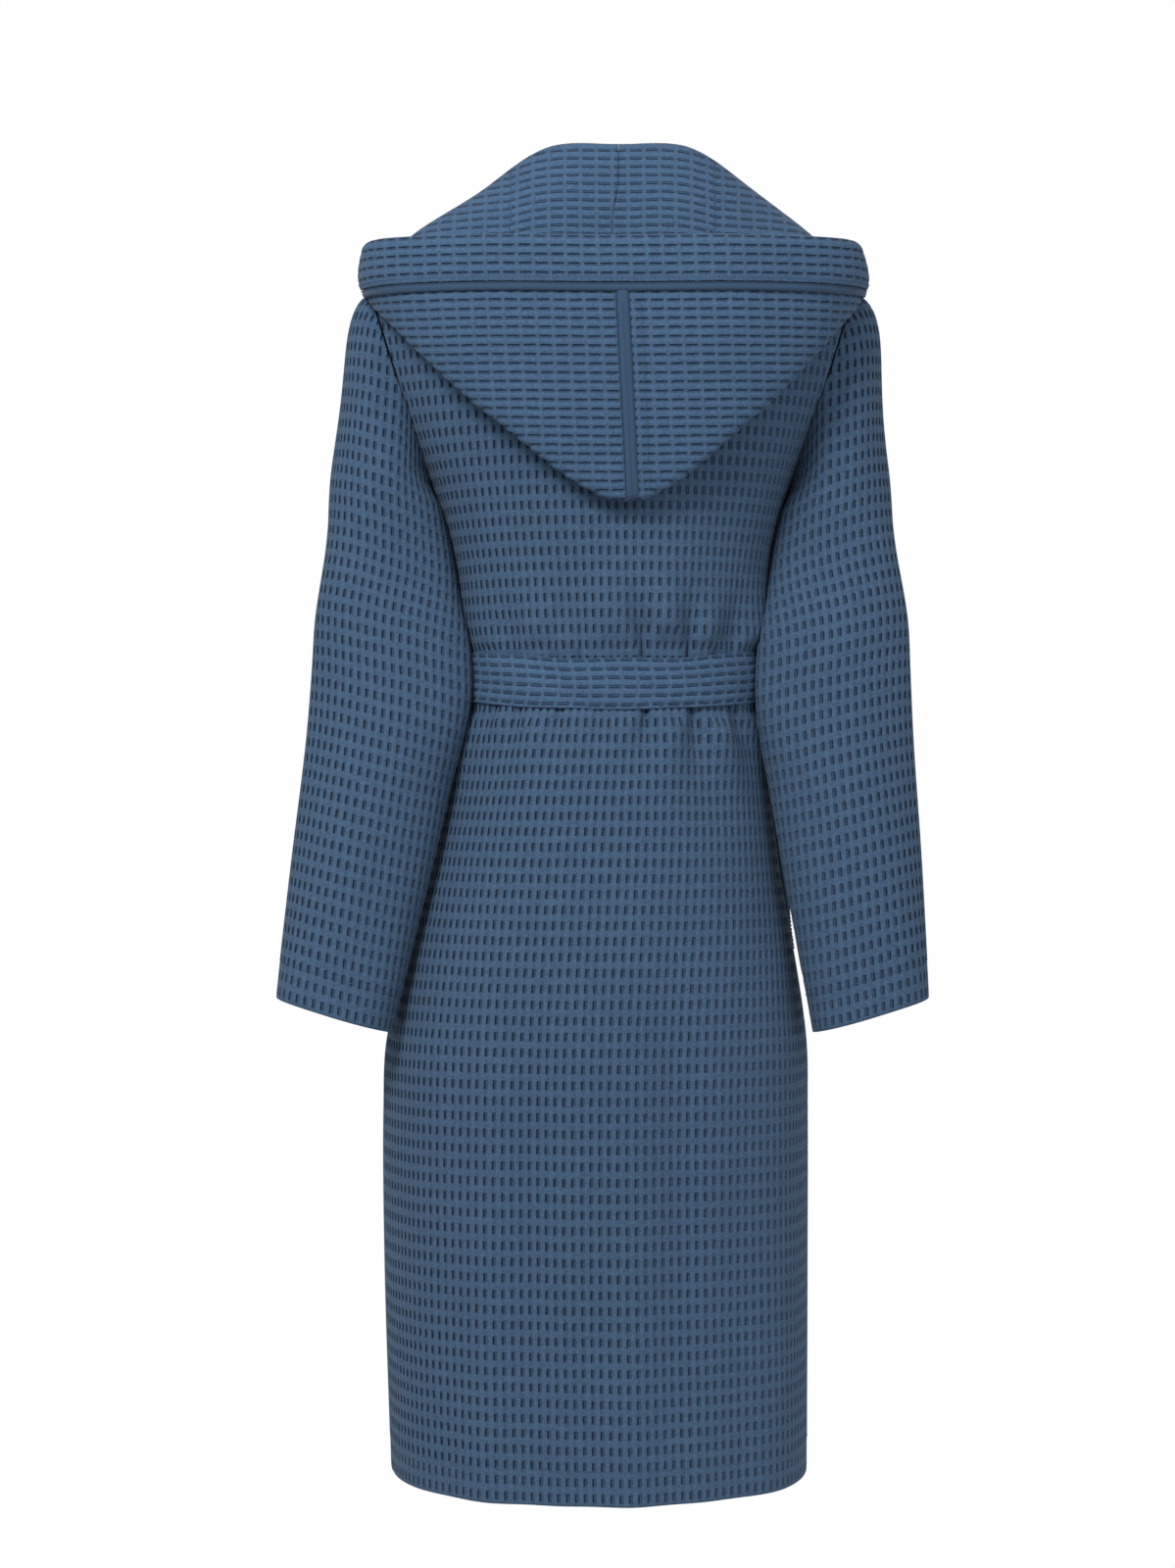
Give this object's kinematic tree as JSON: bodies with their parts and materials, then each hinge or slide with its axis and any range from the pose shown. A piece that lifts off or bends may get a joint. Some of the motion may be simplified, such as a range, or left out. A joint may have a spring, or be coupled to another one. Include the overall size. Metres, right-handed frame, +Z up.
{
  "type": "bathrobe",
  "caption": "Hooded waffle-weave bathrobe with a wrap front, tie belt, long sleeves, hood worn down and patch pockets.",
  "frame": {"origin": "level with the hem, under the middle of the neck, where the shoulder seams' plane crosses the robe's middle", "axes": "+Z up along the robe's length, +Y to the wearer's front, +X to the wearer's right"},
  "size_m": [0.5677, 0.336, 1.1743],
  "materials": {
    "waffle_cloth": "matte slate-blue cotton waffle",
    "crosswise_waffle_cloth": "matte slate-blue cotton waffle, grain turned a quarter",
    "cotton_tape": "matte dark blue cotton tape",
    "label_cloth": "plain off-white woven satin"
  },
  "bodies": {
    "robe": {"back_panel": "waffle_cloth", "front_panel_left": "waffle_cloth", "front_panel_right": "waffle_cloth", "front_band_left": "crosswise_waffle_cloth", "front_band_right": "crosswise_waffle_cloth", "hood_neck": "crosswise_waffle_cloth", "belt": "crosswise_waffle_cloth", "belt_knot": "crosswise_waffle_cloth", "belt_loop_left": "cotton_tape", "belt_loop_right": "cotton_tape", "pocket_left": "waffle_cloth", "pocket_right": "waffle_cloth", "neck_tape": "cotton_tape", "neck_label": "label_cloth", "care_label": "label_cloth"},
    "left_sleeve": {"sleeve_left": "waffle_cloth"},
    "right_sleeve": {"sleeve_right": "waffle_cloth"},
    "hood": {"hood_left": "crosswise_waffle_cloth", "hood_right": "crosswise_waffle_cloth", "hood_band": "crosswise_waffle_cloth", "hood_band_tape": "cotton_tape", "hood_centre_tape": "cotton_tape"},
    "left_belt_end": {"belt_end_left": "crosswise_waffle_cloth"},
    "right_belt_end": {"belt_end_right": "crosswise_waffle_cloth"},
    "hanging_loop": {"hanging_loop": "cotton_tape"}
  },
  "joints": [
    {"name": "sleeve_left_raise", "type": "hinge", "parent": "robe", "child": "left_sleeve", "pos_m": [-0.22, 0, 1.057], "axis": [0, 1, 0], "range_deg": [0, 50]},
    {"name": "sleeve_right_raise", "type": "hinge", "parent": "robe", "child": "right_sleeve", "pos_m": [0.22, 0, 1.057], "axis": [0, -1, 0], "range_deg": [0, 50]},
    {"name": "hood_lift", "type": "hinge", "parent": "robe", "child": "hood", "pos_m": [0, 0.085, 1.118], "axis": [-1, 0, 0], "range_deg": [0, 60], "deforming": ["hood_neck"]},
    {"name": "belt_end_left_swing", "type": "hinge", "parent": "robe", "child": "left_belt_end", "pos_m": [0, 0.1373, 0.6842], "axis": [1, 0, 0], "range_deg": [0, 75]},
    {"name": "belt_end_right_swing", "type": "hinge", "parent": "robe", "child": "right_belt_end", "pos_m": [0, 0.1373, 0.6842], "axis": [1, 0, 0], "range_deg": [0, 75]},
    {"name": "hanging_loop_flip", "type": "hinge", "parent": "robe", "child": "hanging_loop", "pos_m": [0, -0.0701, 1.0762], "axis": [1, 0, 0], "range_deg": [0, 80]}
  ]
}
